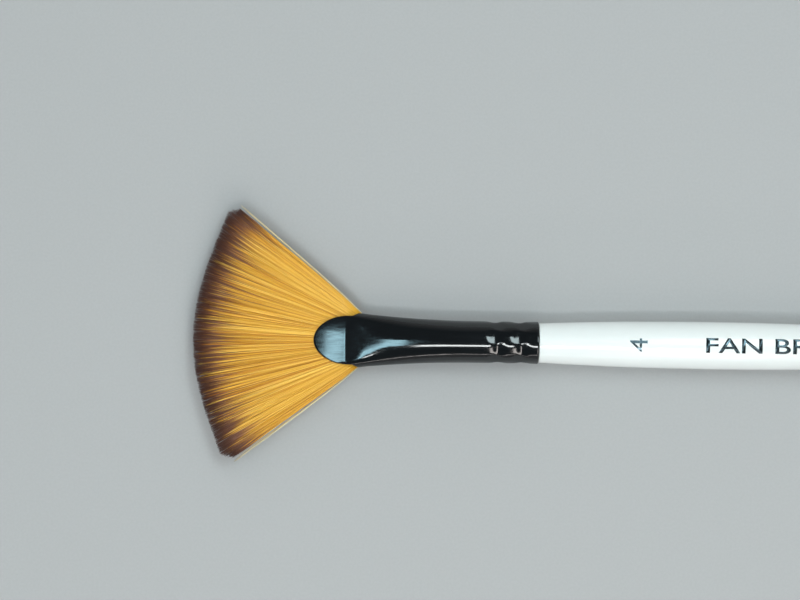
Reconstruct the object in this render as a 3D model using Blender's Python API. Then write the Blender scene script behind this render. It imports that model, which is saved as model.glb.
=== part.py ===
"""Fan brush, size 4, with a short handle.

A turned and lacquered wooden handle, a seamless metal ferrule crimped on to its tenon by two rings and
flattened to a mouth with two round lips, a resin plug, and a flat fan of filaments in locks.
The brush lies on its belly with its axis level: +X runs from the fan to the tail of the handle, +Z is up.
The locks bend at the mouth, so each is in two lengths: a root held by the lips, and a tip that swings
about the fan_flex axis.
"""

import math

import bmesh
import bpy
from mathutils import Vector

# Driving dimensions in millimetres. Stations run along the axis from the rear rim of the ferrule:
# plus towards the tail of the handle, minus towards the hair.
TAIL_STATION = 128.0
BELLY_STATION = 28.0
BELLY_RADIUS = 3.71
FRONT_RADIUS = 3.07  # handle where it meets the ferrule
FRONT_SWELL_POWER = 2.25  # higher keeps the front slim for longer before the belly
TAIL_RADIUS = 1.55
TAIL_FALL_POWER = 0.9
TAIL_FLAT_RADIUS = 1.0
EDGE_BREAK = 0.1  # the handle's front edge is broken by this much
TENON_STATION = -11.0
TENON_CHAMFER = 0.4
TENON_CHAMFER_LENGTH = 0.8

FERRULE_RADIUS = 3.28
FERRULE_WALL = 0.30
RIM_FLARE = 0.04
RIM_FLARE_LENGTH = 0.8
CRIMP_STATIONS = (-6.3, -2.6)
CRIMP_DEPTH = 0.12
CRIMP_WIDTH = 0.6
FLATTEN_STATION = -10.0  # the round tube starts to flatten here
NOSE_STATION = -23.0  # from here the rows of the skin follow the lip's outline
CREASE_STATION = -29.9  # and from here to the lip it is a tongue, almost flat
CREASE_HALF_THICKNESS = 1.22
FLATTEN_POWER = 1.95
LIP_SLOPE = 0.085  # the lips close on the hair by this much in each millimetre
LIP_CROWN_RADIUS = 88.0
SHOULDER_STATION = -27.8  # the tube's sides end here, at its widest
SHOULDER_SPREAD = 0.12
SHOULDER_SPREAD_LENGTH = 1.1
LIP_STATION = -28.8  # the lips' round outline starts here
LIP_REACH = 5.95
LIP_HALF_GIRTH = 3.82

FAN_CENTRE_STATION = -22.4  # where the filaments' straight lines would meet
FAN_HALF_ANGLE = math.radians(38.5)
FAN_RADIUS = 31.0
FAN_CORNER_REACH = 0.9  # the corners are this much further out than a plain arc
LOCKS = 13
ROOT_HALF_THICKNESS = 0.28
TIP_HALF_THICKNESS = 0.34
TIP_EDGE_SHARE = 0.5  # the last ring of a lock is thinner than the one before it by this share
EDGE_THINNING = 0.45  # the outermost lock is thinner than the middle one by this share
FLEX_AHEAD = 1.3  # the flex axis is this far in front of the lips

# Clearances
FIT_GAP = 0.2
FACE_GAP = 0.3
LOCK_GAP = 0.2

# Worked-out places
LIP_TIP_STATION = LIP_STATION - LIP_REACH
FLEX_STATION = LIP_TIP_STATION - FLEX_AHEAD
ROOT_START_STATION = SHOULDER_STATION - FACE_GAP
ROOT_END_STATION = FLEX_STATION + ROOT_HALF_THICKNESS + FACE_GAP
PLUG_REAR_STATION = TENON_STATION - FACE_GAP
FAN_TIP_STATION = FAN_CENTRE_STATION - FAN_RADIUS
MIDDLE_STATION = (TAIL_STATION + FAN_TIP_STATION) / 2
MM = 0.001

# How finely each surface is divided
ROUND_STEPS = 32
CRIMP_ROWS = (1.8, 0.9, 0.0, -0.9, -1.8)  # in crimp widths
RIM_ROW_STATION = -0.6
BODY_STEPS = 5
NOSE_STEPS = 8
LIP_COLUMNS = 7
SIDE_COLUMNS = 3
PLUG_COLUMNS = 6
PLUG_STEPS = 6
FRONT_STATIONS = (3.5, 7.0, 11.0, 16.0, 22.0)
TAPER_STEPS = 11
TAIL_ROUND_STEPS = 4
ROOT_STEPS = 3
TIP_ROUND_DEGREES = (15.0, 50.0)
TIP_SHARES = (0.0, 0.35, 0.7, 0.95)


def clear_scene():
    for obj in list(bpy.data.objects):
        bpy.data.objects.remove(obj, do_unlink=True)


def finish(name, colour, roughness, metallic=0.0):
    """A Principled material with one colour."""
    material = bpy.data.materials.new(name)
    material.use_nodes = True
    shader = material.node_tree.nodes["Principled BSDF"]
    shader.inputs["Base Color"].default_value = (*colour, 1.0)
    shader.inputs["Roughness"].default_value = roughness
    shader.inputs["Metallic"].default_value = metallic
    material.diffuse_color = (*colour, 1.0)
    return material


def empty_at(name, station, parent=None):
    """An empty on the brush's axis, standing for an axis or a datum."""
    empty = bpy.data.objects.new(name, None)
    empty.empty_display_size = 5 * MM
    empty.parent = parent
    empty.location = (station * MM, 0.0, 0.0)
    bpy.context.scene.collection.objects.link(empty)
    return empty


def add_node(name, bm, parent, material, sharp_degrees=35.0):
    """Turns a bmesh, drawn in stations and millimetres, into an object under its parent's axis."""
    parent_station = 0.0 if parent.parent is None else parent.location.x / MM
    bmesh.ops.translate(bm, verts=bm.verts, vec=(-parent_station, 0.0, 0.0))
    bmesh.ops.scale(bm, verts=bm.verts, vec=(MM, MM, MM))
    bmesh.ops.recalc_face_normals(bm, faces=bm.faces)
    mesh = bpy.data.meshes.new(name)
    bm.to_mesh(mesh)
    bm.free()
    mesh.shade_smooth()
    mesh.set_sharp_from_angle(angle=math.radians(sharp_degrees))
    mesh.materials.append(material)
    obj = bpy.data.objects.new(name, mesh)
    obj.parent = parent
    bpy.context.scene.collection.objects.link(obj)
    return obj


def bridge_rings(bm, rings, capped=True):
    """Skins a list of closed rings of points, and closes both ends if capped."""
    loops = [[bm.verts.new(point) for point in ring] for ring in rings]
    for near, far in zip(loops, loops[1:]):
        for i in range(len(near)):
            j = (i + 1) % len(near)
            bm.faces.new((near[i], near[j], far[j], far[i]))
    if capped:
        bm.faces.new(loops[0])
        bm.faces.new(reversed(loops[-1]))


def steps(start, end, count):
    return [start + (end - start) * i / count for i in range(count + 1)]


# --- ferrule -----------------------------------------------------------------------------------


def round_radius(station):
    """Outer radius of the tube before it is flattened, with the rim's flare and the two crimps."""
    radius = FERRULE_RADIUS + RIM_FLARE * math.exp(-((station / RIM_FLARE_LENGTH) ** 2))
    for crimp in CRIMP_STATIONS:
        radius -= CRIMP_DEPTH * math.exp(-(((station - crimp) / CRIMP_WIDTH) ** 2))
    return radius


def half_thickness(station):
    """Half the outer height of the tube: it falls in a curve from round to the crease.

    In front of the crease the lips go on closing gently, to their tip.
    """
    run = (FLATTEN_STATION - station) / (FLATTEN_STATION - CREASE_STATION)
    run = min(max(run, 0.0), 1.0)
    drop = (FERRULE_RADIUS - CREASE_HALF_THICKNESS) * run**FLATTEN_POWER
    past = max(CREASE_STATION - station, 0.0)
    lip = LIP_SLOPE * past + past**2 / (2 * LIP_CROWN_RADIUS)
    return round_radius(station) - drop - lip


def quarter_girth(station):
    """A quarter of the way round the tube, which spreads a little at the mouth's shoulders."""
    spread = math.exp(-(((station - SHOULDER_STATION) / SHOULDER_SPREAD_LENGTH) ** 2))
    return math.pi / 2 * round_radius(station) + SHOULDER_SPREAD * spread


def section_point(station, along, inset=0.0):
    """(y, z) on the tube's section, a round-ended slot with the girth of the round tube.

    along runs from 0 at the top round to 4, one for each quarter. inset moves the point inwards.
    """
    height = half_thickness(station)
    flat = quarter_girth(station) - math.pi / 2 * height
    quarter = int(along) % 4
    share = along - int(along)
    if quarter % 2:
        share = 1.0 - share
    arc = share * quarter_girth(station)
    angle = max(arc - flat, 0.0) / height
    y = min(arc, flat) + (height - inset) * math.sin(angle)
    z = (height - inset) * math.cos(angle)
    side = 1.0 if quarter < 2 else -1.0
    top = 1.0 if quarter in (0, 3) else -1.0
    return side * y, top * z


def lip_station(share):
    """Where the tube ends, at this share of a quarter girth from the middle of the lip."""
    side = quarter_girth(SHOULDER_STATION)
    arc = share * side
    if arc < LIP_HALF_GIRTH:
        return LIP_STATION - LIP_REACH * math.sqrt(1.0 - (arc / LIP_HALF_GIRTH) ** 2)
    past = (arc - LIP_HALF_GIRTH) / (side - LIP_HALF_GIRTH)
    return LIP_STATION + (SHOULDER_STATION - LIP_STATION) * past


def ferrule_columns():
    """Shares of a quarter girth, close together where the lip's outline turns fastest."""
    lip_share = LIP_HALF_GIRTH / quarter_girth(SHOULDER_STATION)
    lip = [lip_share * math.sin(angle) for angle in steps(0.0, math.pi / 2, LIP_COLUMNS)]
    side = steps(lip_share, 1.0, SIDE_COLUMNS)
    return lip + side[1:]


def all_round(columns):
    """The quarter's columns mirrored twice, as places from 0 to 4 round the whole girth."""
    half = columns + [2.0 - share for share in reversed(columns[:-1])]
    return half + [4.0 - place for place in reversed(half[1:-1])]


def crimp_rows():
    """Stations of the crimped length, from the rear rim forwards."""
    rows = [0.0, RIM_ROW_STATION]
    for crimp in sorted(CRIMP_STATIONS, reverse=True):
        rows += [crimp + CRIMP_WIDTH * step for step in CRIMP_ROWS]
    return rows


def make_ferrule(parent):
    """The outer skin is drawn in columns from the rear rim to the lip, and Solidify gives the wall."""
    places = all_round(ferrule_columns())
    body_rows = crimp_rows() + steps(FLATTEN_STATION, NOSE_STATION, BODY_STEPS)
    nose_rows = steps(0.0, 1.0, NOSE_STEPS)[1:]
    rings = []
    for station in body_rows:
        rings.append([(station, *section_point(station, place)) for place in places])
    for share in nose_rows:
        ring = []
        for place in places:
            quarter_share = place % 2.0
            quarter_share = min(quarter_share, 2.0 - quarter_share)
            station = NOSE_STATION + (lip_station(quarter_share) - NOSE_STATION) * share
            ring.append((station, *section_point(station, place)))
        rings.append(ring)
    bm = bmesh.new()
    bridge_rings(bm, rings, capped=False)
    material = finish("ferrule_black_coat", (0.010, 0.012, 0.014), 0.12, 0.3)
    ferrule = add_node("ferrule", bm, parent, material)
    wall = ferrule.modifiers.new("wall", "SOLIDIFY")
    wall.thickness = FERRULE_WALL * MM
    wall.offset = -1.0
    wall.use_rim = True


def make_resin_plug(parent):
    """Fills the tube from the tenon to the mouth, and holds the roots of the hair."""
    inset = FERRULE_WALL + FIT_GAP
    places = all_round(steps(0.0, 1.0, PLUG_COLUMNS))
    rings = []
    for station in steps(PLUG_REAR_STATION, SHOULDER_STATION, PLUG_STEPS):
        rings.append([(station, *section_point(station, place, inset)) for place in places])
    bm = bmesh.new()
    bridge_rings(bm, rings)
    add_node("resin_plug", bm, parent, finish("amber_resin", (0.42, 0.25, 0.08), 0.3))


# --- handle ------------------------------------------------------------------------------------


def handle_radius(station):
    """Radius of the turned body: it swells from the ferrule to the belly, then tapers to the tail."""
    if station < BELLY_STATION:
        run = (BELLY_STATION - station) / BELLY_STATION
        return BELLY_RADIUS - (BELLY_RADIUS - FRONT_RADIUS) * run**FRONT_SWELL_POWER
    run = (station - BELLY_STATION) / (TAIL_STATION - BELLY_STATION)
    fall = (1.0 - math.cos(math.pi * run**TAIL_FALL_POWER)) / 2
    return BELLY_RADIUS - (BELLY_RADIUS - TAIL_RADIUS) * fall


def tenon_radius(station):
    """The tenon follows the inside of the ferrule, crimps and all."""
    return half_thickness(station) - FERRULE_WALL - FIT_GAP


def handle_profile():
    """(station, radius) from the tenon's end to the tail, both ends closed on the axis."""
    shoulder = FIT_GAP
    profile = [(TENON_STATION, 0.0)]
    chamfer_end = TENON_STATION + TENON_CHAMFER_LENGTH
    profile.append((TENON_STATION, tenon_radius(TENON_STATION) - TENON_CHAMFER))
    profile.append((chamfer_end, tenon_radius(chamfer_end)))
    for station in reversed(crimp_rows()[2:]):
        profile.append((station, tenon_radius(station)))
    profile.append((shoulder, tenon_radius(RIM_ROW_STATION)))
    profile.append((shoulder, FRONT_RADIUS - EDGE_BREAK))
    for station in (shoulder + EDGE_BREAK, *FRONT_STATIONS, BELLY_STATION):
        profile.append((station, handle_radius(station)))
    round_start = TAIL_STATION - TAIL_RADIUS
    for station in steps(BELLY_STATION, round_start, TAPER_STEPS)[1:]:
        profile.append((station, handle_radius(station)))
    end_radius = handle_radius(round_start)
    for angle in steps(0.0, math.pi / 2, TAIL_ROUND_STEPS)[1:]:
        station = round_start + TAIL_RADIUS * math.sin(angle)
        radius = TAIL_FLAT_RADIUS + (end_radius - TAIL_FLAT_RADIUS) * math.cos(angle)
        profile.append((station, radius))
    profile.append((TAIL_STATION, 0.0))
    return profile


def make_handle(parent):
    """The profile is spun about the axis of the brush."""
    bm = bmesh.new()
    corners = [bm.verts.new((station, radius, 0.0)) for station, radius in handle_profile()]
    edges = [bm.edges.new(pair) for pair in zip(corners, corners[1:])]
    bmesh.ops.spin(
        bm,
        geom=corners + edges,
        cent=(0.0, 0.0, 0.0),
        axis=(1.0, 0.0, 0.0),
        angle=2 * math.pi,
        steps=ROUND_STEPS,
        use_merge=True,
    )
    bmesh.ops.remove_doubles(bm, verts=bm.verts, dist=0.0001)
    add_node("handle", bm, parent, finish("handle_white_lacquer", (0.90, 0.91, 0.90), 0.15))


# --- hair --------------------------------------------------------------------------------------

# The section of a lock: (share of its width, share of its half thickness)
LOCK_SECTION = (
    (0.00, -0.45),
    (0.15, -1.00),
    (0.85, -1.00),
    (1.00, -0.45),
    (1.00, 0.45),
    (0.85, 1.00),
    (0.15, 1.00),
    (0.00, 0.45),
)


def fan_radius(angle):
    """Distance from the fan's centre to its outer edge: an arc with its corners drawn out a little."""
    return FAN_RADIUS + FAN_CORNER_REACH * (angle / FAN_HALF_ANGLE) ** 4


def lock_thickness(angle, share):
    """Half the thickness of the hair, from the mouth (share 0) to its tips (share 1)."""
    thinning = 1.0 - EDGE_THINNING * (angle / FAN_HALF_ANGLE) ** 2
    return thinning * (ROOT_HALF_THICKNESS + (TIP_HALF_THICKNESS - ROOT_HALF_THICKNESS) * share)


def lock_ring(low, high, distance_of, half_height_of):
    """One ring round a lock that spans the angles low to high.

    distance_of gives the distance from the fan's centre at an angle, and half_height_of the half
    thickness there. Half of LOCK_GAP is left free along each side.
    """
    ring = []
    for across, up in LOCK_SECTION:
        angle = low + (high - low) * across
        distance = distance_of(angle)
        inward = LOCK_GAP / 2 if across < 0.5 else -LOCK_GAP / 2
        x = FAN_CENTRE_STATION - distance * math.cos(angle) + inward * math.sin(angle)
        y = distance * math.sin(angle) + inward * math.cos(angle)
        ring.append((x, y, up * half_height_of(angle)))
    return ring


def at_station(station):
    """Distance along each filament to a plane square to the axis."""
    return lambda angle: (FAN_CENTRE_STATION - station) / math.cos(angle)


def along_hair(share):
    """Distance along each filament, from the flex axis (share 0) to the fan's outer edge (share 1)."""
    start = at_station(FLEX_STATION)
    return lambda angle: start(angle) + (fan_radius(angle) - start(angle)) * share


def make_root(name, low, high, parent, material):
    """The length of a lock that the lips hold, square at both ends."""
    rings = []
    for station in steps(ROOT_START_STATION, ROOT_END_STATION, ROOT_STEPS):
        rings.append(
            lock_ring(low, high, at_station(station), lambda angle: lock_thickness(angle, 0.0))
        )
    bm = bmesh.new()
    bridge_rings(bm, rings)
    add_node(name, bm, parent, material, sharp_degrees=60.0)


def make_tip(name, low, high, parent, material):
    """The free length of a lock. Its inner end is half round about the flex axis, so it clears its root."""
    middle = (low + high) / 2
    end_radius = lock_thickness(middle, 0.0)
    rings = []
    for degrees in TIP_ROUND_DEGREES:
        turn = math.radians(degrees)
        station = FLEX_STATION + end_radius * math.cos(turn)
        rings.append(
            lock_ring(
                low,
                high,
                at_station(station),
                lambda angle, rise=math.sin(turn): rise * lock_thickness(angle, 0.0),
            )
        )
    for share in TIP_SHARES:
        rings.append(
            lock_ring(
                low,
                high,
                along_hair(share),
                lambda angle, share=share: lock_thickness(angle, share),
            )
        )
    rings.append(
        lock_ring(
            low,
            high,
            along_hair(1.0),
            lambda angle: TIP_EDGE_SHARE * lock_thickness(angle, 1.0),
        )
    )
    bm = bmesh.new()
    bridge_rings(bm, rings)
    add_node(name, bm, parent, material, sharp_degrees=60.0)


def make_hair(datum, flex_axis):
    """Equal locks across the fan, numbered from the -Y side."""
    root_hair = finish("hair_gold_root", (0.66, 0.42, 0.10), 0.45)
    tip_hair = finish("hair_gold_brown_tip", (0.62, 0.37, 0.09), 0.45)
    edges = steps(-FAN_HALF_ANGLE, FAN_HALF_ANGLE, LOCKS)
    for number, (low, high) in enumerate(zip(edges, edges[1:]), start=1):
        make_root(f"hair_root_{number:02d}", low, high, datum, root_hair)
        make_tip(f"hair_tip_{number:02d}", low, high, flex_axis, tip_hair)


def main():
    clear_scene()
    datum = empty_at("ferrule_rim_datum", 0.0)
    datum.location = Vector((-MIDDLE_STATION, 0.0, BELLY_RADIUS)) * MM
    flex_axis = empty_at("fan_flex_axis", FLEX_STATION, datum)
    make_handle(datum)
    make_ferrule(datum)
    make_resin_plug(datum)
    make_hair(datum, flex_axis)


main()
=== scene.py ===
import math

import bmesh
import bpy
import numpy as np
from mathutils import Matrix, Vector


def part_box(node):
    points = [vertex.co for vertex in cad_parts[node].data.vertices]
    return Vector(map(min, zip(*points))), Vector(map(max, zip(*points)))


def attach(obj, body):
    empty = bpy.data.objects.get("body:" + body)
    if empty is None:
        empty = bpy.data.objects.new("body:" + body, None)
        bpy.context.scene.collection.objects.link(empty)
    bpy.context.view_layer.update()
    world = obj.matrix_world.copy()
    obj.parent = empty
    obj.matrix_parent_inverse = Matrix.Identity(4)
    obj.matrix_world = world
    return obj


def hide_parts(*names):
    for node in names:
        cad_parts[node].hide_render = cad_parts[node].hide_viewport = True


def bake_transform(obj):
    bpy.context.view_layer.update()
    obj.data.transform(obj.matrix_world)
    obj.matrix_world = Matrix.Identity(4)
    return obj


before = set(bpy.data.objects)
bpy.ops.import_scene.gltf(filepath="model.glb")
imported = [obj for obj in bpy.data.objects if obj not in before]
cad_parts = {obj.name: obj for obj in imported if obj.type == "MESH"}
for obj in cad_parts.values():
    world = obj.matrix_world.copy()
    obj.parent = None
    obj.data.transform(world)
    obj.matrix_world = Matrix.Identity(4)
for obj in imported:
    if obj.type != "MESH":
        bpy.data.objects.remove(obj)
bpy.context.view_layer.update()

# Fan brush, size 4. Lengths below are millimetres. A station is a place along the brush,
# counted from the rear rim of the ferrule: plus to the tail, minus to the hair.
mm = 0.001
tailStation = 128.0
handleLow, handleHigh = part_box("handle")
rimX = handleHigh.x - tailStation * mm
axisZ = (handleLow.z + handleHigh.z) / 2


def place(points):
    # (station, across, up from the axis) in mm, moved to metres in the frame
    return np.asarray(points, float) * mm + (rimX, 0.0, axisZ)


def smoothStep(value):
    # 0 up to 0, 1 from 1 on, and three squares less two cubes between
    t = np.clip(value, 0.0, 1.0)
    return t * t * (3.0 - 2.0 * t)


def tint(red, green, blue):
    # screen colour 0-255 to the linear colour that shaders want
    c = np.array([red, green, blue], float) / 255.0
    c = np.where(c <= 0.04045, c / 12.92, ((c + 0.055) / 1.055) ** 2.4)
    return (*c.tolist(), 1.0)


def gridQuads(rows, columns):
    # joins every row of a ring grid to the next, the last column back to the first
    r = np.arange(rows - 1)[:, None] * columns
    a = np.arange(columns)[None, :]
    b = (a + 1) % columns
    return np.stack([r + a, r + b, r + columns + b, r + columns + a], -1).reshape(-1, 4)


def ringTriangles(first, columns, pole):
    # a fan of triangles from one ring to a point on the axis
    a = np.arange(columns)
    return np.stack([first + a, first + (a + 1) % columns, np.full(columns, pole)], -1)


def makeMesh(name, points, quads, triangles=None):
    # whole arrays into a mesh; a negative volume means inside out, so every face is turned
    triangles = np.zeros((0, 3), int) if triangles is None else triangles
    split = np.concatenate([quads[:, [0, 1, 2]], quads[:, [0, 2, 3]], triangles])
    corners = (points - points.mean(0))[split]
    volume = np.einsum("ij,ij->i", corners[:, 0], np.cross(corners[:, 1], corners[:, 2])).sum()
    if volume < 0:
        quads = quads[:, ::-1]
        triangles = triangles[:, ::-1]
    loops = np.concatenate([quads.ravel(), triangles.ravel()]).astype(np.int32)
    starts = np.concatenate([
        np.arange(len(quads)) * 4,
        len(quads) * 4 + np.arange(len(triangles)) * 3,
    ]).astype(np.int32)
    mesh = bpy.data.meshes.new(name)
    mesh.vertices.add(len(points))
    mesh.vertices.foreach_set("co", points.astype(np.float32).ravel())
    mesh.loops.add(len(loops))
    mesh.loops.foreach_set("vertex_index", loops)
    mesh.polygons.add(len(starts))
    mesh.polygons.foreach_set("loop_start", starts)
    mesh.update(calc_edges=True)
    mesh.shade_smooth()
    return mesh


def makePiece(name, mesh, material):
    # an object for the mesh, standing at the origin, with its one material
    piece = bpy.data.objects.new(name, mesh)
    mesh.materials.append(material)
    bpy.context.scene.collection.objects.link(piece)
    return piece


def addAttribute(mesh, name, values):
    # one number for each point, which the material reads by its name
    mesh.attributes.new(name, "FLOAT", "POINT").data.foreach_set("value", values.astype(np.float32))


def newMaterial(name, **sockets):
    # a Principled shader; a socket's name has _ for each space
    material = bpy.data.materials.new(name)
    material.use_nodes = True
    shader = material.node_tree.nodes["Principled BSDF"]
    for socket, value in sockets.items():
        shader.inputs[socket.replace("_", " ")].default_value = value
    return material, material.node_tree, shader


def addNode(tree, kind, inputs=None, **settings):
    # a shader node with its settings; each input is a socket to link or a value to set
    node = tree.nodes.new(kind)
    for key, value in settings.items():
        setattr(node, key, value)
    for key, value in (inputs or {}).items():
        if isinstance(value, bpy.types.NodeSocket):
            tree.links.new(value, node.inputs[key])
        else:
            node.inputs[key].default_value = value
    return node


def noiseOf(tree, scale, stretch=(1.0, 1.0, 1.0), detail=2.0):
    # noise on Object coordinates; scale is per metre, and a stretch below 1 draws it out along an axis
    where = addNode(tree, "ShaderNodeTexCoord")
    mapping = addNode(tree, "ShaderNodeMapping", {"Vector": where.outputs["Object"], "Scale": stretch})
    noise = addNode(tree, "ShaderNodeTexNoise", {
        "Vector": mapping.outputs["Vector"], "Scale": scale, "Detail": detail})
    return noise.outputs["Fac"]


def rampOf(tree, factor, stops):
    # a colour ramp through (position, colour) pairs
    ramp = addNode(tree, "ShaderNodeValToRGB", {"Fac": factor})
    elements = ramp.color_ramp.elements
    while len(elements) < len(stops):
        elements.new(0.5)
    for element, (position, colour) in zip(elements, stops):
        element.position = position
        element.color = colour
    return ramp.outputs["Color"]


def colourFrom(tree, shader, cloud, darker, lighter, between):
    # base colour: the darker tint where the cloud is low, the lighter one where it is high, mixed between
    low, high = between
    ramp = rampOf(tree, cloud, [(low, tint(*darker)), (high, tint(*lighter))])
    tree.links.new(ramp, shader.inputs["Base Color"])


def rangeOf(tree, value, low, high, fromLow=0.0, fromHigh=1.0):
    # a value moved in a straight line from one range to another
    node = addNode(tree, "ShaderNodeMapRange", {
        "Value": value, "From Min": fromLow, "From Max": fromHigh, "To Min": low, "To Max": high})
    return node.outputs["Result"]


def bumpOf(tree, shader, height, strength, depth):
    # a bump in the shader's normal; depth in mm at full height
    bump = addNode(tree, "ShaderNodeBump", {"Height": height, "Strength": strength, "Distance": depth * mm})
    tree.links.new(bump.outputs["Normal"], shader.inputs["Normal"])


# the camera comes first, because everything is judged through it
camera = {
    "lookAtStation": -21.4,    # where the view's middle falls on the axis plane
    "lookAtAcross": 6.71,      # and how far to the fan's +Y side
    "distance": 312.5,
    "lens": 90.0,
    "sensor": 36.0,
    "roll": 0.9,               # degrees
    "clip": (0.01, 20.0),      # metres
}


def makeCamera():
    # straight down on the flat of the fan; the roll turns about the ferrule's rear rim
    roll = math.radians(camera["roll"])
    right = np.array([math.cos(roll), math.sin(roll)])
    up = np.array([-math.sin(roll), math.cos(roll)])
    middle = camera["lookAtStation"] * right + camera["lookAtAcross"] * up
    data = bpy.data.cameras.new("camera")
    data.lens = camera["lens"]
    data.sensor_width = camera["sensor"]
    data.clip_start, data.clip_end = camera["clip"]
    view = bpy.data.objects.new("camera", data)
    view.location = place((middle[0], middle[1], camera["distance"])).tolist()
    view.rotation_euler = (0.0, 0.0, roll)
    bpy.context.scene.collection.objects.link(view)
    bpy.context.scene.camera = view


makeCamera()
print("camera set")


# the turned handle: its shape, its tenon in the ferrule, and its lacquer
handle = {
    "columns": 128,
    "bellyStation": 28.0,
    "bellyRadius": 3.71,
    "frontRadius": 3.07,
    "frontSwell": 2.25,        # how late the front reaches its belly
    "tailRadius": 1.55,
    "tailFall": 0.9,           # below 1 the tail narrows sooner
    "tailFlatRadius": 1.0,
    "shoulderStation": 0.2,
    "shoulderRound": 0.16,
    "tenonStation": -11.0,
    "tenonRadius": 2.62,
    # the tenon's chamfered end: steps in from its end, and from its radius
    "tenonEnd": ((0.0, -1.62), (0.0, -0.45), (0.12, -0.36), (0.68, -0.06), (0.85, 0.0)),
    "tenonSideStart": 1.0,
    "tenonRows": 90,
    "shoulderRows": 9,
    "frontRows": 60,
    "tailRows": 120,
    "tailRoundRows": 14,
    "tailCentre": 0.6,         # share of the tail's flat that is its middle disc
    "sharpAngle": 50.0,        # edges sharper than this stay crisp
    "lacquer": (238, 241, 239),
    "lacquerShade": (234, 238, 236),
    "lacquerIor": 1.5,
    "cloudScale": 90.0,
    "cloudStretch": (0.25, 1.0, 1.0),
    "cloudRange": (0.3, 0.7),
    "gloss": (0.13, 0.20),     # roughness from and to
    "glossScale": 420.0,
    "glossRange": (0.3, 0.7),
    "orangePeel": 0.010,       # mm deep
    "peelScale": 900.0,
    "peelDetail": 3.0,
    "peelStretch": (0.6, 1.0, 1.0),
    "peelStrength": 0.35,
}


def handleRadius(station):
    # front: belly less a power of the distance from it; tail: belly to tail on half a cosine wave
    belly, bellyRadius = handle["bellyStation"], handle["bellyRadius"]
    ahead = np.clip((belly - station) / belly, 0.0, 1.0)
    behind = np.clip((station - belly) / (tailStation - belly), 0.0, 1.0)
    front = (bellyRadius - handle["frontRadius"]) * ahead ** handle["frontSwell"]
    halfWave = (1 - np.cos(np.pi * behind ** handle["tailFall"])) / 2
    tail = (bellyRadius - handle["tailRadius"]) * halfWave
    return bellyRadius - front - tail


def handleProfile():
    # (station, radius) of the tenon's end, the tenon pressed in by the crimps, the shoulder with a small
    # quarter round, the swelling body, and the tail on a quarter of an ellipse
    tenonStart, tenon = handle["tenonStation"], handle["tenonRadius"]
    runs = [np.array(handle["tenonEnd"]) + (tenonStart, tenon)]
    side = np.linspace(tenonStart + handle["tenonSideStart"], handle["shoulderStation"], handle["tenonRows"])
    runs.append(np.stack([side, tenon + ferruleGroove(side)], -1))
    turn = np.linspace(0.0, np.pi / 2, handle["shoulderRows"])
    r = handle["shoulderRound"]
    start = handle["shoulderStation"] + r
    runs.append(np.stack([start - r * np.cos(turn), handleRadius(start) - r + r * np.sin(turn)], -1))
    roundStart = tailStation - handle["tailRadius"]
    front = np.linspace(start, handle["bellyStation"], handle["frontRows"])[1:]
    back = np.linspace(handle["bellyStation"], roundStart, handle["tailRows"])[1:]
    body = np.concatenate([front, back])
    runs.append(np.stack([body, handleRadius(body)], -1))
    flat = handle["tailFlatRadius"]
    turn = np.linspace(0.0, np.pi / 2, handle["tailRoundRows"])[1:]
    runs.append(np.stack([roundStart + handle["tailRadius"] * np.sin(turn),
                          flat + (handleRadius(roundStart) - flat) * np.cos(turn)], -1))
    runs.append(np.array([[tailStation, flat * handle["tailCentre"]]]))
    return np.concatenate(runs)


def lacquerMaterial():
    # two close whites in soft clouds, a gloss that wanders a little, and a faint orange peel
    material, tree, shader = newMaterial("white_gloss_lacquer", IOR=handle["lacquerIor"])
    cloud = noiseOf(tree, handle["cloudScale"], handle["cloudStretch"])
    colourFrom(tree, shader, cloud, handle["lacquerShade"], handle["lacquer"], handle["cloudRange"])
    gloss = rangeOf(tree, noiseOf(tree, handle["glossScale"]), *handle["gloss"], *handle["glossRange"])
    tree.links.new(gloss, shader.inputs["Roughness"])
    peel = noiseOf(tree, handle["peelScale"], handle["peelStretch"], handle["peelDetail"])
    bumpOf(tree, shader, peel, handle["peelStrength"], handle["orangePeel"])
    return material


def makeHandle():
    # surface of revolution: (radius sin turn, radius cos turn) at each station of the profile
    profile = handleProfile()
    turn = np.linspace(0.0, 2 * np.pi, handle["columns"], endpoint=False)
    grid = np.stack([
        np.repeat(profile[:, :1], handle["columns"], 1),
        profile[:, 1:] * np.sin(turn),
        profile[:, 1:] * np.cos(turn),
    ], -1)
    rows = len(profile)
    poles = np.array([[handle["tenonStation"], 0.0, 0.0], [tailStation, 0.0, 0.0]])
    points = np.concatenate([grid.reshape(-1, 3), poles])
    count = rows * handle["columns"]
    triangles = np.concatenate([
        ringTriangles(0, handle["columns"], count)[:, ::-1],
        ringTriangles(count - handle["columns"], handle["columns"], count + 1),
    ])
    mesh = makeMesh("turned_handle", place(points), gridQuads(rows, handle["columns"]), triangles)
    mesh.set_sharp_from_angle(angle=math.radians(handle["sharpAngle"]))
    piece = makePiece("turned_handle", mesh, lacquerMaterial())
    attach(piece, "holder")
    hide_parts("handle")


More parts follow.
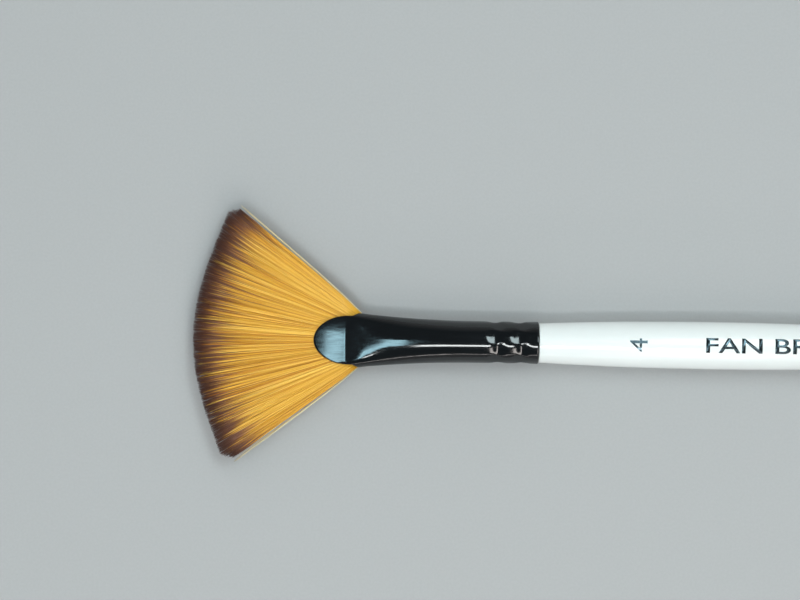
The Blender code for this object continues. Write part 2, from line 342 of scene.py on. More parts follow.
# the ferrule: a tube crimped on to the handle, and flattened to a mouth with two round lips
ferrule = {
    "columnsPerQuarter": 50,
    "lipColumns": 0.78,        # this share of them ends on the lip's outline
    "radius": 3.28,
    "wall": 0.30,
    "rimFlare": 0.04,
    "rimFlareLength": 0.8,
    "crimpStations": (-6.3, -2.6),
    "crimpDepth": 0.07,
    "crimpWidth": 0.55,        # bell width towards the handle
    "crimpRamp": 1.15,         # and the longer ramp towards the hair
    "punches": 10,             # dimples round each crimp
    "punchStagger": 0.40,      # every other one sits this much forward, the rest back
    "punchDepth": 0.12,
    "punchRadius": 0.90,
    "punchShape": 2.6,         # higher is a flatter floor and a steeper wall
    "flattenStation": -10.0,
    "creaseStation": -29.9,
    "creaseHalfThickness": 1.22,
    "flattenPower": 1.95,      # higher keeps the tube round for longer
    "ovalStation": -22.0,      # the section is an oval up to here
    "slotStation": -29.0,      # and a flat slot with round sides from here to the lips
    "shoulderStation": -27.8,
    "shoulderSpread": 0.04,    # a quarter of the girth is this much longer there
    "shoulderSpreadLength": 1.1,
    "lipStation": -28.8,
    "lipReach": 5.95,
    "lipHalfGirth": 3.82,
    "lipSlope": 0.085,         # the lips close on the hair towards their tip
    "lipCrownAlong": 88.0,     # with a slight crown of this radius along
    "lipCrownAcross": 50.0,    # and of this one across
    "crownStart": 3.0,         # the crown across comes in over this length behind the crease
    "noseStation": -23.0,      # rows start to follow the lip's outline here
    "crimpLength": 9.5,        # close rows over this length
    "crimpStep": 0.1,
    "bodyRows": 34,
    "noseRows": 56,
    "noseCrowding": 0.9,       # below 1 the rows bunch towards the lip's edge
    "innerBodyRows": 40,
    "innerBodyEnd": 0.98,      # just short of the inner skin's nose rows
    "innerNoseRows": 24,
    "rimSteps": 5,
    "coat": (13, 16, 18),
    "coatIor": 1.6,
    "darkerCoat": 0.86,        # times the coat's colour, in clouds
    "cloudScale": 160.0,
    "cloudRange": (0.35, 0.65),
    "gloss": (0.05, 0.15),     # roughness from and to
    "glossRange": (0.3, 0.7),
    "streaks": 0.004,          # mm deep
    "streakScale": 5200.0,
    "streakDetail": 3.0,
    "streakStretch": (0.03, 1.0, 1.0),
    "streakStrength": 0.5,
}


def ferruleGroove(station):
    # two round grooves, each a bell curve with a longer ramp towards the hair
    groove = np.zeros_like(station)
    for crimp in ferrule["crimpStations"]:
        width = np.where(station < crimp, ferrule["crimpRamp"], ferrule["crimpWidth"])
        groove = groove - ferrule["crimpDepth"] * np.exp(-((station - crimp) / width) ** 2)
    return groove


def tubeRadius(station):
    # the tube before it is flattened: plain, with a flared rim and the grooves
    flare = ferrule["rimFlare"] * np.exp(-(station / ferrule["rimFlareLength"]) ** 2)
    return ferrule["radius"] + flare + ferruleGroove(station)


def halfThickness(station):
    # falls from round to the crease on a power curve, then gently closes to the lip's tip
    run = (ferrule["flattenStation"] - station) / (ferrule["flattenStation"] - ferrule["creaseStation"])
    fall = ferrule["radius"] - ferrule["creaseHalfThickness"]
    drop = fall * np.clip(run, 0.0, 1.0) ** ferrule["flattenPower"]
    pastCrease = np.clip(ferrule["creaseStation"] - station, 0.0, None)
    lip = ferrule["lipSlope"] * pastCrease + pastCrease ** 2 / (2 * ferrule["lipCrownAlong"])
    return tubeRadius(station) - drop - lip


def quarterGirth(station):
    # a quarter of the way round, a little wider at the shoulders
    spread = np.exp(-((station - ferrule["shoulderStation"]) / ferrule["shoulderSpreadLength"]) ** 2)
    return np.pi / 2 * tubeRadius(station) + ferrule["shoulderSpread"] * spread


def sectionPoint(station, placeRound, inset):
    # an oval of the tube's height and spread width, turning into a flat slot with half-round sides.
    # placeRound goes 0 to 4 round the girth from the top, and inset moves inwards, square to the section
    height = halfThickness(station)
    flat = quarterGirth(station) - np.pi / 2 * height
    quarter = np.floor(placeRound).astype(int) % 4
    share = placeRound - np.floor(placeRound)
    share = np.where(quarter % 2 == 1, 1.0 - share, share)
    arc = share * quarterGirth(station)
    angle = np.clip(arc - flat, 0.0, None) / height
    slotY = np.minimum(arc, flat) + (height - inset) * np.sin(angle)
    slotZ = (height - inset) * np.cos(angle)
    turn = share * np.pi / 2
    wide = flat + height
    normalY, normalZ = np.sin(turn) / wide, np.cos(turn) / height
    size = np.hypot(normalY, normalZ)
    ovalY = wide * np.sin(turn) - inset * normalY / size
    ovalZ = height * np.cos(turn) - inset * normalZ / size
    ovalPast = ferrule["ovalStation"] - station
    mix = smoothStep(ovalPast / (ferrule["ovalStation"] - ferrule["slotStation"]))
    y = ovalY + (slotY - ovalY) * mix
    z = ovalZ + (slotZ - ovalZ) * mix
    onLip = smoothStep((ferrule["creaseStation"] - station) / ferrule["crownStart"] + 1.0)
    z = z * (1.0 - onLip * y ** 2 / (2 * ferrule["lipCrownAcross"]) / height)
    return np.stack([
        station + 0.0 * y,
        np.where(quarter < 2, y, -y),
        np.where((quarter == 0) | (quarter == 3), z, -z),
    ], -1)


def punchDepth(station, placeRound):
    # dimples alternate forward and back round each crimp; each is a flat-floored bell
    depth = np.zeros(np.broadcast(station, placeRound).shape)
    turn = placeRound * 90.0
    pitch = 360.0 / ferrule["punches"]
    number = np.floor(turn / pitch)
    aside = (turn - (number + 0.5) * pitch) / 180.0 * np.pi * ferrule["radius"]
    for crimp in ferrule["crimpStations"]:
        centre = crimp + ferrule["punchStagger"] * np.where(number % 2 == 0, -1.0, 1.0)
        away = np.sqrt((station - centre) ** 2 + aside ** 2) / ferrule["punchRadius"]
        depth = depth + ferrule["punchDepth"] * np.exp(-away ** ferrule["punchShape"])
    return depth


def lipOutline(share):
    # where the tube ends: half an ellipse on each lip, then a soft step back to the shoulder
    side = quarterGirth(np.array(ferrule["shoulderStation"]))
    arc = share * side
    inner = np.clip(arc / ferrule["lipHalfGirth"], 0.0, 1.0)
    lip = ferrule["lipStation"] - ferrule["lipReach"] * np.sqrt(1.0 - inner ** 2)
    past = np.clip((arc - ferrule["lipHalfGirth"]) / (side - ferrule["lipHalfGirth"]), 0.0, 1.0)
    return lip + (ferrule["shoulderStation"] - ferrule["lipStation"]) * (1.0 - (1.0 - past) ** 2)


def ferruleShares():
    # quarter columns: even round the crimps, and bunched where the lip's outline turns fastest
    count = ferrule["columnsPerQuarter"]
    lipShare = ferrule["lipHalfGirth"] / float(quarterGirth(np.array(ferrule["shoulderStation"])))
    onLip = round(count * ferrule["lipColumns"])
    lip = lipShare * np.sin(np.linspace(0.0, np.pi / 2, onLip + 1))
    side = np.linspace(lipShare, 1.0, count - onLip + 1)[1:]
    return np.linspace(0.0, 1.0, count + 1), np.concatenate([lip, side])


def allRound(quarter):
    # the quarter's places mirrored twice, 0 to 4
    half = np.concatenate([quarter, 2.0 - quarter[-2::-1]])
    return np.concatenate([half, 4.0 - half[-2:0:-1]])


def ferruleSkin(rows, inset, punched):
    # a grid of section points; rows run 0 at the rear rim, 1 at the nose rows' start and 2 at the lip's edge,
    # and the even columns move over to the bunched ones between the flattening's start and the nose
    even, bunched = ferruleShares()
    evenPlaces, lipPlaces = allRound(even), allRound(bunched)
    toNose = np.clip(rows, 0.0, 1.0)[:, None] * ferrule["noseStation"]
    flattening = ferrule["flattenStation"]
    mix = smoothStep((toNose - flattening) / (ferrule["noseStation"] - flattening))
    places = evenPlaces * (1.0 - mix) + lipPlaces * mix
    quarterShare = np.minimum(lipPlaces % 2.0, 2.0 - lipPlaces % 2.0)
    edge = lipOutline(quarterShare)[None, :]
    past = np.clip(rows - 1.0, 0.0, 1.0)[:, None]
    station = toNose + (edge - ferrule["noseStation"]) * past
    deep = punchDepth(station, places) if punched else 0.0
    return sectionPoint(station, places, inset + deep)


def ferruleRim(atLip):
    # half a round between the outer and the inner skin, pushed out past the edge in the skin's own plane
    even, bunched = ferruleShares()
    places = allRound(bunched if atLip else even)
    turn = np.linspace(0.0, np.pi, ferrule["rimSteps"] + 2)[1:-1, None]
    half = ferrule["wall"] / 2
    inset = half * (1.0 - np.cos(turn))
    bulge = half * np.sin(turn)
    if not atLip:
        return sectionPoint(bulge + 0.0 * places, places + 0.0 * bulge, inset)[::-1]
    quarterShare = np.minimum(places % 2.0, 2.0 - places % 2.0)
    side = float(quarterGirth(np.array(ferrule["shoulderStation"])))
    edge = lipOutline(quarterShare)
    ahead = np.roll(edge, -1)
    behind = np.roll(edge, 1)
    gapAhead = (np.roll(places, -1) - places) % 4.0
    gapBehind = (places - np.roll(places, 1)) % 4.0
    slope = (ahead - behind) / ((gapAhead + gapBehind) * side)
    length = np.sqrt(1.0 + slope ** 2)
    outPlaces = places + bulge * slope / length / side
    outStation = edge - bulge / length
    return sectionPoint(outStation, outPlaces % 4.0, inset)


def coatMaterial():
    # near black in two close tones, with fine drawing streaks along the tube in its gloss and its surface
    material, tree, shader = newMaterial("gloss_black_coat", IOR=ferrule["coatIor"])
    darker = [ferrule["darkerCoat"] * c for c in ferrule["coat"]]
    cloud = noiseOf(tree, ferrule["cloudScale"])
    colourFrom(tree, shader, cloud, darker, ferrule["coat"], ferrule["cloudRange"])
    streaks = noiseOf(tree, ferrule["streakScale"], ferrule["streakStretch"], ferrule["streakDetail"])
    gloss = rangeOf(tree, streaks, *ferrule["gloss"], *ferrule["glossRange"])
    tree.links.new(gloss, shader.inputs["Roughness"])
    bumpOf(tree, shader, streaks, ferrule["streakStrength"], ferrule["streaks"])
    return material


def makeFerrule():
    # outer skin, lip's round, inner skin, rim's round: one closed ring of rows
    toNose = -ferrule["noseStation"]
    crimpRows = np.arange(0.0, ferrule["crimpLength"], ferrule["crimpStep"]) / toNose
    bodyRows = np.linspace(ferrule["crimpLength"] / toNose, 1.0, ferrule["bodyRows"])[:-1]
    noseRows = 1.0 + np.linspace(0.0, 1.0, ferrule["noseRows"]) ** ferrule["noseCrowding"]
    outer = ferruleSkin(np.concatenate([crimpRows, bodyRows, noseRows]), 0.0, True)
    innerBody = np.linspace(0.0, ferrule["innerBodyEnd"], ferrule["innerBodyRows"])
    innerRows = np.concatenate([innerBody, np.linspace(1.0, 2.0, ferrule["innerNoseRows"])])[::-1]
    inner = ferruleSkin(innerRows, ferrule["wall"], False)
    grid = np.concatenate([outer, ferruleRim(True), inner, ferruleRim(False)])
    rows, columns = grid.shape[:2]
    quads = gridQuads(rows, columns)
    a = np.arange(columns)
    b = (a + 1) % columns
    last = (rows - 1) * columns
    closing = np.stack([last + a, last + b, b, a], -1)
    mesh = makeMesh("crimped_ferrule", place(grid.reshape(-1, 3)), np.concatenate([quads, closing]))
    piece = makePiece("crimped_ferrule", mesh, coatMaterial())
    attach(piece, "holder")
    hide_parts("ferrule")
    print("ferrule", len(mesh.polygons), "faces")


makeHandle()
print("handle turned")
makeFerrule()


# the resin plug, hidden in the ferrule
resin = {
    "amber": (176, 128, 62),
    "amberDeep": (140, 92, 36),
    "roughness": 0.3,
    "resinIor": 1.5,
    "cloudScale": 350.0,
    "cloudDetail": 4.0,
    "cloudRange": (0.35, 0.65),
    "grain": 0.02,             # mm deep
    "grainScale": 2500.0,
    "grainStrength": 0.3,
}


def makeResin():
    # the CAD plug keeps its shape and gets cast resin, cloudy and finely grained
    material, tree, shader = newMaterial(
        "amber_resin", Roughness=resin["roughness"], IOR=resin["resinIor"])
    cloud = noiseOf(tree, resin["cloudScale"], detail=resin["cloudDetail"])
    colourFrom(tree, shader, cloud, resin["amberDeep"], resin["amber"], resin["cloudRange"])
    bumpOf(tree, shader, noiseOf(tree, resin["grainScale"]), resin["grainStrength"], resin["grain"])
    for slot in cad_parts["resin_plug"].material_slots:
        slot.material = material


makeResin()


# the hair: separate filaments in thirteen locks
hair = {
    "locks": 13,
    "perLock": 330,
    "seed": 41,
    "rowsAlong": (0.0, 0.14, 0.27, 0.39, 0.5, 0.62, 0.74, 0.88, 1.0),
    "tubeSides": 4,            # four, because one quad closes each end
    "fanCentre": -22.4,        # station where the straight lines would meet
    "halfAngle": 38.5,         # degrees, between the fan's middle and its side line
    "lowEdge": -37.6,          # degrees, where the hair stops on each side
    "highEdge": 40.6,
    "fanRadius": 31.0,
    "cornerReach": 1.9,        # the corners stand out this much more
    "tipAllowance": 0.45,      # added to the radius before the shortfalls are taken away
    "edgeFall": 1.6,           # the outermost hairs stop this much short
    "edgeFallAngle": 3.0,      # over the last degrees of each side
    "shoulder": -27.8,
    "sideEase": 0.38,          # the side line starts this much inside its straight run
    "sideEaseLength": 0.8,
    "mouthHalfWidth": 3.91,
    "mouthTaper": 0.35,        # narrower by this much for each mm behind the shoulder
    "rootStation": -27.45,
    "thickRadius": 0.052,
    "thickRange": (0.85, 1.15),
    "pointRadius": 0.011,
    "pointLength": 3.6,
    "pointPower": 0.8,
    "mouthHalf": 0.33,         # half the fan's thickness at the mouth
    "tipHalf": 0.34,           # and at the tips
    "edgeThinning": 0.42,      # and this share less at its two sides
    "clumps": 170,
    "clumpEvenness": 0.4,      # 0 is random edges, 1 is even ones
    "clumpTone": 0.045,
    "clumpDye": 0.5,
    "clumpLoss": 0.04,
    "clumpPull": 0.10,
    "pullRange": (0.4, 1.2),
    "angleJitter": 0.22,       # degrees
    "lengthLoss": 0.22,        # shortfall in mm, times a gamma draw
    "lossShape": (1.6, 0.6),   # of this shape and scale
    "strayShare": 0.03,        # this share of the hairs is shorter by the next range
    "strayLoss": (0.5, 3.0),
    "bowSpread": 0.07,         # mm up or down at the tip
    "waveSpread": 0.16,        # degrees
    "waveLength": 5.0,         # radians of wave from root to tip
    "tipDraw": 0.02,           # the tips draw together by this share
    "looseLow": (9, 0.5),      # loose pale hairs outside the low side, and their gap in degrees
    "looseHigh": (5, 0.3),     # and outside the high side
    "looseSpread": (0.3, 1.0), # degrees, added to the gap
    "palePart": (0.6, 1.0),    # how far they go over to the pale tone
    "looseDye": 0.3,
    "dyeDepth": 4.2,
    "leastDye": 0.5,
    "cornerDye": 1.2,          # and this much more in the corners
    "dyeSpread": 1.8,
    "deepShare": 0.16,         # this share of the hairs took the dye deeper
    "deepMore": 2.6,
    "dyeRamp": 1.6,            # the brown ramps run over this many depths from the tip
    "dyeMidAt": 0.36,
    "dyeLightAt": 0.62,
    "dyeFull": 0.42,           # up to here on the ramp the hair is all dye
    "dyeGone": 0.85,           # and from here on all gold
    "toneSpread": 0.25,
    "roughness": 0.42,
    "hairIor": 1.5,
    "darkGold": (194, 122, 18),
    "midGold": (232, 175, 50),
    "lightGold": (255, 214, 104),
    "paleGold": (222, 214, 178),
    "dyeDark": (88, 60, 54),
    "dyeMid": (124, 78, 54),
    "dyeLight": (166, 100, 38),
    "bendLength": 8.0,         # the bend is spread over this length in front of the lips
}
halfFan = math.radians(hair["halfAngle"])


def edgeAcross(station):
    # the fan's side line: straight in front of the shoulder, less an ease that dies away, and inside
    # the mouth a slower straight taper
    pastShoulder = np.clip(hair["shoulder"] - station, 0, None)
    ease = hair["sideEase"] * np.exp(-pastShoulder / hair["sideEaseLength"])
    ahead = np.tan(halfFan) * (hair["fanCentre"] - station) - ease
    inside = hair["mouthHalfWidth"] - hair["mouthTaper"] * (station - hair["shoulder"])
    return np.where(station < hair["shoulder"], ahead, inside)


def filamentRows(angle, layer, reach, clumpAngle, pull, bow, wave):
    # centre line of each filament, one to a line: across, its share of the side line, turned towards its
    # clump and waving; up, its share of the fan's thickness and its bow. angle is its place in the fan,
    # layer its height in it from -1 to 1, reach its distance from the fan's centre
    along = np.array(hair["rowsAlong"])[None, :]
    tip = hair["fanCentre"] - reach * np.cos(angle)
    station = hair["rootStation"] + (tip - hair["rootStation"])[:, None] * along
    turned = angle[:, None] + (clumpAngle - angle)[:, None] * pull[:, None] * smoothStep(along)
    turned = turned * (1.0 - hair["tipDraw"] * smoothStep(along))
    turned = turned + wave[:, None] * np.sin(along * hair["waveLength"]) * along
    y = edgeAcross(station) * np.tan(turned) / np.tan(halfFan)
    thin = 1.0 - hair["edgeThinning"] * np.clip(np.abs(angle) / halfFan, 0, 1)[:, None] ** 2
    thick = (hair["mouthHalf"] + (hair["tipHalf"] - hair["mouthHalf"]) * along) * thin
    z = layer[:, None] * thick + bow[:, None] * along ** 2
    return np.stack([station, y, z], -1)


def tubesAlong(lines, radius, twist):
    # a ring round every point of every centre line: cosine to the side and sine up, square to the line
    along = np.gradient(lines, axis=1)
    along /= np.linalg.norm(along, axis=2, keepdims=True)
    side = np.stack([-along[..., 1], along[..., 0], np.zeros(along.shape[:2])], -1)
    side /= np.linalg.norm(side, axis=2, keepdims=True)
    up = np.cross(along, side)
    sides = hair["tubeSides"]
    turn = twist[:, None, None] + np.arange(sides)[None, None, :] * 2 * np.pi / sides
    ring = np.cos(turn)[..., None] * side[:, :, None, :] + np.sin(turn)[..., None] * up[:, :, None, :]
    return lines[:, :, None, :] + radius[:, :, None, None] * ring


def tubeFaces(filaments, rows):
    # quads along every tube, and one at each end
    sides = hair["tubeSides"]
    ring = np.arange(sides)[None, :]
    one = np.concatenate([gridQuads(rows, sides), ring[:, ::-1], ring + (rows - 1) * sides])
    firsts = np.arange(filaments) * rows * sides
    return (one[None] + firsts[:, None, None]).reshape(-1, sides)


def filamentMaterial():
    # gold by each filament's tone, over it the brown dip that fades away from the tip, and over both the
    # pale tone of the loose hairs
    material, tree, shader = newMaterial(
        "dipped_gold_filament", Roughness=hair["roughness"], IOR=hair["hairIor"])
    tone = addNode(tree, "ShaderNodeAttribute", attribute_name="hairTone").outputs["Fac"]
    dye = addNode(tree, "ShaderNodeAttribute", attribute_name="dyeShare").outputs["Fac"]
    pale = addNode(tree, "ShaderNodeAttribute", attribute_name="paleShare").outputs["Fac"]
    gold = rampOf(tree, tone, [
        (0.0, tint(*hair["darkGold"])),
        (0.5, tint(*hair["midGold"])),
        (1.0, tint(*hair["lightGold"])),
    ])
    dyeShare = rangeOf(tree, dye, 0.0, 1.0, 0.0, hair["dyeRamp"])
    brown = rampOf(tree, dyeShare, [
        (0.0, tint(*hair["dyeDark"])),
        (hair["dyeMidAt"], tint(*hair["dyeMid"])),
        (hair["dyeLightAt"], tint(*hair["dyeLight"])),
        (hair["dyeGone"], tint(*hair["darkGold"])),
    ])
    white, black = (1.0, 1.0, 1.0, 1.0), (0.0, 0.0, 0.0, 1.0)
    amount = rampOf(tree, dyeShare, [(hair["dyeFull"], white), (hair["dyeGone"], black)])
    both = addNode(tree, "ShaderNodeMix", data_type="RGBA")
    tree.links.new(amount, both.inputs["Factor"])
    tree.links.new(gold, both.inputs["A"])
    tree.links.new(brown, both.inputs["B"])
    final = addNode(tree, "ShaderNodeMix", data_type="RGBA")
    tree.links.new(pale, final.inputs["Factor"])
    tree.links.new(both.outputs["Result"], final.inputs["A"])
    final.inputs["B"].default_value = tint(*hair["paleGold"])
    tree.links.new(final.outputs["Result"], shader.inputs["Base Color"])
    return material


def shareClumps(rng, low, high):
    # neighbouring filaments cling in clumps: uneven edges across the fan, and for each clump its middle,
    # and how its tone, its dye and its length differ
    count = hair["clumps"]
    edges = np.sort(rng.uniform(low, high, count - 1))
    even = np.linspace(low, high, count + 1)[1:-1]
    edges = (1.0 - hair["clumpEvenness"]) * edges + hair["clumpEvenness"] * even
    edges = np.concatenate([[low], edges, [high]])
    return {
        "edges": edges,
        "middle": (edges[1:] + edges[:-1]) / 2,
        "tone": rng.normal(0.0, hair["clumpTone"], count),
        "dye": rng.normal(0.0, hair["clumpDye"], count),
        "loss": rng.exponential(hair["clumpLoss"], count),
    }


def loosenSides(rng, number, low, high, angle, tipAngle):
    # the first filaments of the two outer locks move just outside the fan's side, and are pale
    pale = np.zeros(len(angle))
    if number == 0:
        side, edge, (count, gap) = -1.0, -low, hair["looseLow"]
    elif number == hair["locks"] - 1:
        side, edge, (count, gap) = 1.0, high, hair["looseHigh"]
    else:
        return pale
    angle[:count] = side * (edge + np.radians(rng.uniform(*hair["looseSpread"], count) + gap))
    tipAngle[:count] = angle[:count]
    pale[:count] = rng.uniform(*hair["palePart"], count)
    return pale


def filamentReach(rng, angle, clumpLoss, low, high):
    # the fan's radius, more in the corners on a fourth power, less each filament's own shortfall and its
    # clump's, with a few strays much shorter, and less again in the last degrees of each side
    n = len(angle)
    reach = hair["fanRadius"] + hair["cornerReach"] * (angle / halfFan) ** 4
    loss = hair["lengthLoss"] * rng.gamma(*hair["lossShape"], n) + clumpLoss
    stray = rng.uniform(0.0, 1.0, n) < hair["strayShare"]
    loss = np.where(stray, loss + rng.uniform(*hair["strayLoss"], n), loss)
    side = np.where(angle < 0, -low, high)
    nearSide = (np.abs(angle) - side) / math.radians(hair["edgeFallAngle"]) + 1.0
    return reach + hair["tipAllowance"] - loss - hair["edgeFall"] * smoothStep(nearSide)


def dyeDepths(rng, angle, clumpDye, pale):
    # how far the dip reaches from the tip: more in the corners on a fourth power, uneven, and on a few
    # filaments much deeper
    n = len(angle)
    depth = hair["dyeDepth"] + hair["cornerDye"] * (angle / halfFan) ** 4 + clumpDye
    depth = np.clip(depth + rng.normal(0.0, hair["dyeSpread"], n), hair["leastDye"], None)
    deep = rng.uniform(0.0, 1.0, n) < hair["deepShare"]
    depth = np.where(deep, depth + rng.exponential(hair["deepMore"], n), depth)
    return np.where(pale > 0, hair["looseDye"], depth)


def makeLock(rng, number, clumps, low, high, material):
    # one lock: each filament's place in the fan, its line, its tube that thins to a point, its tone and dye
    n = hair["perLock"]
    lockEdges = np.linspace(low, high, hair["locks"] + 1)
    angle = rng.uniform(lockEdges[number], lockEdges[number + 1], n)
    clump = np.clip(np.searchsorted(clumps["edges"], angle) - 1, 0, hair["clumps"] - 1)
    tipAngle = clumps["middle"][clump] + np.radians(rng.normal(0.0, hair["angleJitter"], n))
    pull = hair["clumpPull"] * rng.uniform(*hair["pullRange"], n)
    pale = loosenSides(rng, number, low, high, angle, tipAngle)
    layer = rng.uniform(-1.0, 1.0, n)
    reach = filamentReach(rng, angle, clumps["loss"][clump], low, high)
    bow = rng.normal(0.0, hair["bowSpread"], n)
    wave = np.radians(rng.normal(0.0, hair["waveSpread"], n))
    lines = filamentRows(angle, layer, reach, tipAngle, pull, bow, wave)
    steps = np.linalg.norm(np.diff(lines, axis=1), axis=2)
    fromTip = np.concatenate([np.cumsum(steps[:, ::-1], 1)[:, ::-1], np.zeros((n, 1))], 1)
    thick = hair["thickRadius"] * rng.uniform(*hair["thickRange"], n)[:, None]
    fullness = np.clip(fromTip / hair["pointLength"], 0, 1) ** hair["pointPower"]
    radius = hair["pointRadius"] + (thick - hair["pointRadius"]) * fullness
    points = tubesAlong(lines, radius, rng.uniform(0.0, np.pi, n))
    depth = dyeDepths(rng, angle, clumps["dye"][clump], pale)
    tone = 0.5 + clumps["tone"][clump] + rng.normal(0.0, hair["toneSpread"], n)
    rows, sides = points.shape[1:3]
    name = f"filaments_{number + 1:02d}"
    mesh = makeMesh(name, place(points.reshape(-1, 3)), tubeFaces(n, rows))
    addAttribute(mesh, "hairTone", np.repeat(np.clip(tone, 0.0, 1.0), rows * sides))
    addAttribute(mesh, "paleShare", np.repeat(pale, rows * sides))
    addAttribute(mesh, "dyeShare", np.repeat((fromTip / depth[:, None]).ravel(), sides))
    piece = makePiece(name, mesh, material)
    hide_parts(f"hair_root_{number + 1:02d}", f"hair_tip_{number + 1:02d}")
    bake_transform(piece)


def makeHair():
    # the locks lie side by side across the fan, and share its clumps
    rng = np.random.default_rng(hair["seed"])
    low, high = math.radians(hair["lowEdge"]), math.radians(hair["highEdge"])
    clumps = shareClumps(rng, low, high)
    material = filamentMaterial()
    for number in range(hair["locks"]):
        makeLock(rng, number, clumps, low, high, material)
    print("hair", hair["locks"] * hair["perLock"], "filaments")


makeHair()


# the size number and the words stamped on the handle in dark foil
printing = {
    "size": "4",
    "sizeStation": 15.5,
    "sizeHeight": 2.75,
    "sizeStretch": 1.14,
    "words": "FAN BRUSH",
    "wordsBold": 0.012,
    "wordsStation": 25.9,
    "wordsHeight": 2.42,
    "wordsLength": 25.0,
    "wordsAcross": 0.1,
    "bands": 0.12,             # the letters are cut about this often, so they bend round the handle
    "curveSteps": 5,
    "mergeDistance": 1e-5,
    "raise": 0.012,            # how far the foil stands proud of the lacquer
    "foil": (74, 86, 92),
    "foilLight": (92, 106, 112),
    "foilRoughness": 0.22,
    "foilScale": 1500.0,
    "foilRange": (0.3, 0.75),
}


def flatLetters(text, bold):
    # text made a flat mesh, its lower left corner at zero and one unit high
    curve = bpy.data.curves.new("letters", "FONT")
    curve.body = text
    curve.resolution_u = printing["curveSteps"]
    curve.offset = bold
    letters = bpy.data.objects.new("letters", curve)
    bpy.context.scene.collection.objects.link(letters)
    bpy.context.view_layer.update()
    evaluated = letters.evaluated_get(bpy.context.evaluated_depsgraph_get())
    shape = bpy.data.meshes.new_from_object(evaluated)
    bpy.data.objects.remove(letters, do_unlink=True)
    bm = bmesh.new()
    bm.from_mesh(shape)
    bmesh.ops.remove_doubles(bm, verts=bm.verts, dist=printing["mergeDistance"])
    low = np.array([v.co[:2] for v in bm.verts]).min(0)
    high = np.array([v.co[:2] for v in bm.verts]).max(0)
    bmesh.ops.translate(bm, verts=bm.verts, vec=(-low[0], -low[1], 0.0))
    bmesh.ops.scale(bm, verts=bm.verts, vec=[1.0 / (high[1] - low[1])] * 3)
    return bm


def foilMaterial():
    # dark grey metal in two close tones
    material, tree, shader = newMaterial(
        "dark_stamped_foil", Roughness=printing["foilRoughness"], Metallic=1.0)
    cloud = noiseOf(tree, printing["foilScale"])
    colourFrom(tree, shader, cloud, printing["foil"], printing["foilLight"], printing["foilRange"])
    return material


def wrapLetters(name, bm, toHandle, across, material):
    # cuts the flat letters into narrow bands, rolls them on to the handle and gives them a thin wall.
    # across is which flat axis goes round the handle
    values = [v.co[across] for v in bm.verts]
    for cut in np.arange(min(values), max(values), printing["bands"] / printing["sizeHeight"])[1:]:
        where = [0.0, 0.0, 0.0]
        where[across] = float(cut)
        normal = [0.0, 0.0, 0.0]
        normal[across] = 1.0
        everything = bm.verts[:] + bm.edges[:] + bm.faces[:]
        bmesh.ops.bisect_plane(bm, geom=everything, plane_co=where, plane_no=normal)
    mesh = bpy.data.meshes.new(name)
    bm.to_mesh(mesh)
    bm.free()
    flat = np.zeros(len(mesh.vertices) * 3)
    mesh.vertices.foreach_get("co", flat)
    station, aside = toHandle(flat.reshape(-1, 3))
    radius = handleRadius(station) + printing["raise"]
    points = np.stack([station, radius * np.sin(aside / radius), radius * np.cos(aside / radius)], -1)
    mesh.vertices.foreach_set("co", place(points).ravel())
    mesh.update()
    normals = np.zeros(len(mesh.polygons) * 3)
    mesh.polygons.foreach_get("normal", normals)
    if normals[2::3].mean() < 0:
        mesh.flip_normals()
    piece = makePiece(name, mesh, material)
    wall = piece.modifiers.new("wall", "SOLIDIFY")
    wall.thickness = 2 * printing["raise"] * mm
    wall.offset = -1.0
    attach(piece, "holder")


def makePrinting():
    # the size number is read across the handle, the words along it
    foil = foilMaterial()
    high = printing["sizeHeight"]
    bm = flatLetters(printing["size"], 0.0)
    middle = max(v.co.x for v in bm.verts) / 2
    wrapLetters("size_number", bm, lambda flat: (
        printing["sizeStation"] + (0.5 - flat[:, 1]) * high,
        (flat[:, 0] - middle) * high * printing["sizeStretch"]), 0, foil)
    bm = flatLetters(printing["words"], printing["wordsBold"])
    wide = max(v.co.x for v in bm.verts)
    tall = printing["wordsHeight"]
    wrapLetters("lettering", bm, lambda flat: (
        printing["wordsStation"] + flat[:, 0] / wide * printing["wordsLength"],
        printing["wordsAcross"] + (flat[:, 1] - 0.5) * tall), 1, foil)


makePrinting()
print("printing wrapped")


# the stage: a pale floor, soft light panels round the brush, and a grey surround
stage = {
    "floor": (174, 174, 174),
    "floorShade": 0.985,       # times the floor's colour, in fine clouds
    "floorScale": 2600.0,
    "floorRange": (0.35, 0.65),
    "floorRoughness": 0.8,
    "floorHalf": 1.5,          # metres
    "panels": {
        # size along and across and distance from the mouth in metres, degrees towards +X and +Y,
        # radiance, colour, seen in gloss
        "window": ((0.21, 0.08), 0.62, (0.6, -20.0), 18.0, (0.96, 1.0, 1.0), True),
        "skyAhead": ((0.052, 0.21), 0.62, (-14.6, -7.5), 11.5, (0.52, 0.87, 1.0), True),
        "skyFar": ((0.040, 0.225), 0.62, (-18.3, -17.0), 3.0, (0.50, 0.85, 1.0), True),
        "skyBehind": ((0.15, 0.30), 0.62, (18.5, 20.0), 8.5, (0.80, 0.97, 1.0), True),
        "lowWarm": ((0.08, 0.30), 0.62, (19.0, -46.0), 7.0, (1.0, 0.94, 0.90), True),
        "lowStrip": ((0.70, 0.03), 0.62, (0.0, -70.0), 5.0, (1.0, 0.93, 0.90), True),
        "bounce": ((6.4, 6.4), 3.0, (0.0, 28.0), 0.66, (1.0, 0.98, 0.955), False),
        "lowBounce": ((4.4, 2.6), 3.0, (0.0, -55.0), 0.48, (1.0, 0.975, 0.94), False),
    },
    "horizon": (0.42, 0.42, 0.42),
    "zenith": (0.07, 0.082, 0.09),
    "zenithHeight": 0.55,
}


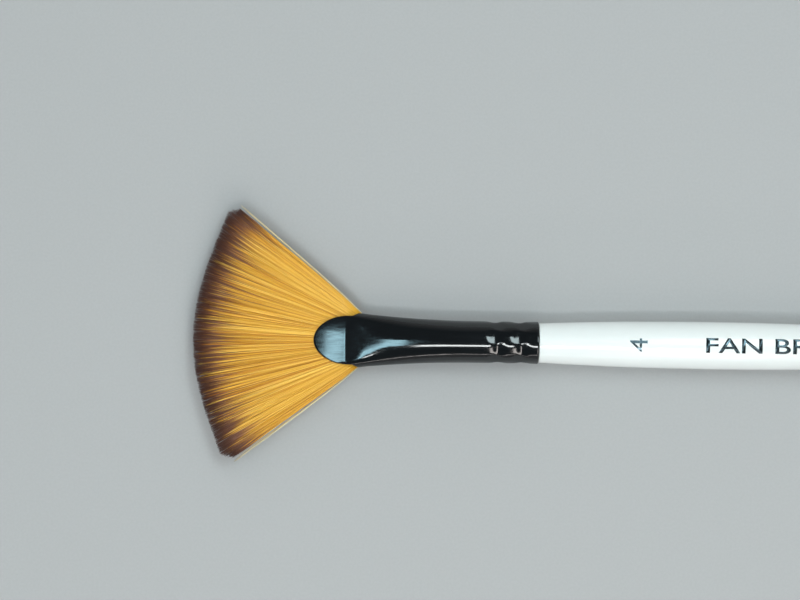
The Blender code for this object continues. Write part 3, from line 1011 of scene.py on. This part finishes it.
def makePanel(name, size, distance, lean, radiance, colour, inGloss):
    # a flat light aimed at the mouth, its length kept along the brush; its power is pi x area x radiance
    light = bpy.data.lights.new(name, "AREA")
    light.shape = "RECTANGLE"
    light.size, light.size_y = size
    light.energy = math.pi * size[0] * size[1] * radiance
    light.color = colour
    lamp = bpy.data.objects.new(name, light)
    alongLean, acrossLean = (math.radians(angle) for angle in lean)
    away = np.array([math.tan(alongLean), math.tan(acrossLean), 1.0])
    away *= distance / np.linalg.norm(away)
    middle = place((hair["fanCentre"], 0.0, 0.0))
    lamp.location = (middle + away).tolist()
    facing = Vector(away.tolist()).normalized()
    crosswise = facing.cross(Vector((1.0, 0.0, 0.0))).normalized()
    lamp.rotation_euler = Matrix((crosswise.cross(facing), crosswise, facing)).transposed().to_euler()
    lamp.visible_camera = False
    lamp.visible_glossy = inGloss
    bpy.context.scene.collection.objects.link(lamp)


def makeFloor():
    # one square, level with the lowest line of the handle
    half = stage["floorHalf"]
    corners = [(-half, -half, 0.0), (half, -half, 0.0), (half, half, 0.0), (-half, half, 0.0)]
    mesh = bpy.data.meshes.new("floor")
    mesh.from_pydata(corners, [], [(0, 1, 2, 3)])
    material, tree, shader = newMaterial("pale_floor", Roughness=stage["floorRoughness"])
    shade = [stage["floorShade"] * c for c in stage["floor"]]
    cloud = noiseOf(tree, stage["floorScale"])
    colourFrom(tree, shader, cloud, shade, stage["floor"], stage["floorRange"])
    makePiece("floor", mesh, material)


def makeSurround():
    # a grey that darkens from the horizon up
    world = bpy.data.worlds.new("surround")
    world.use_nodes = True
    tree = world.node_tree
    where = addNode(tree, "ShaderNodeTexCoord")
    height = addNode(tree, "ShaderNodeSeparateXYZ", {"Vector": where.outputs["Generated"]})
    stops = [(0.0, (*stage["horizon"], 1.0)), (stage["zenithHeight"], (*stage["zenith"], 1.0))]
    shade = rampOf(tree, height.outputs["Z"], stops)
    tree.links.new(shade, tree.nodes["Background"].inputs["Color"])
    bpy.context.scene.world = world


def makeStage():
    # everything round the brush, with colours shown as they are
    makeFloor()
    for name, facts in stage["panels"].items():
        makePanel(name, *facts)
    makeSurround()
    bpy.context.scene.view_settings.view_transform = "Standard"


makeStage()
print("stage lit")
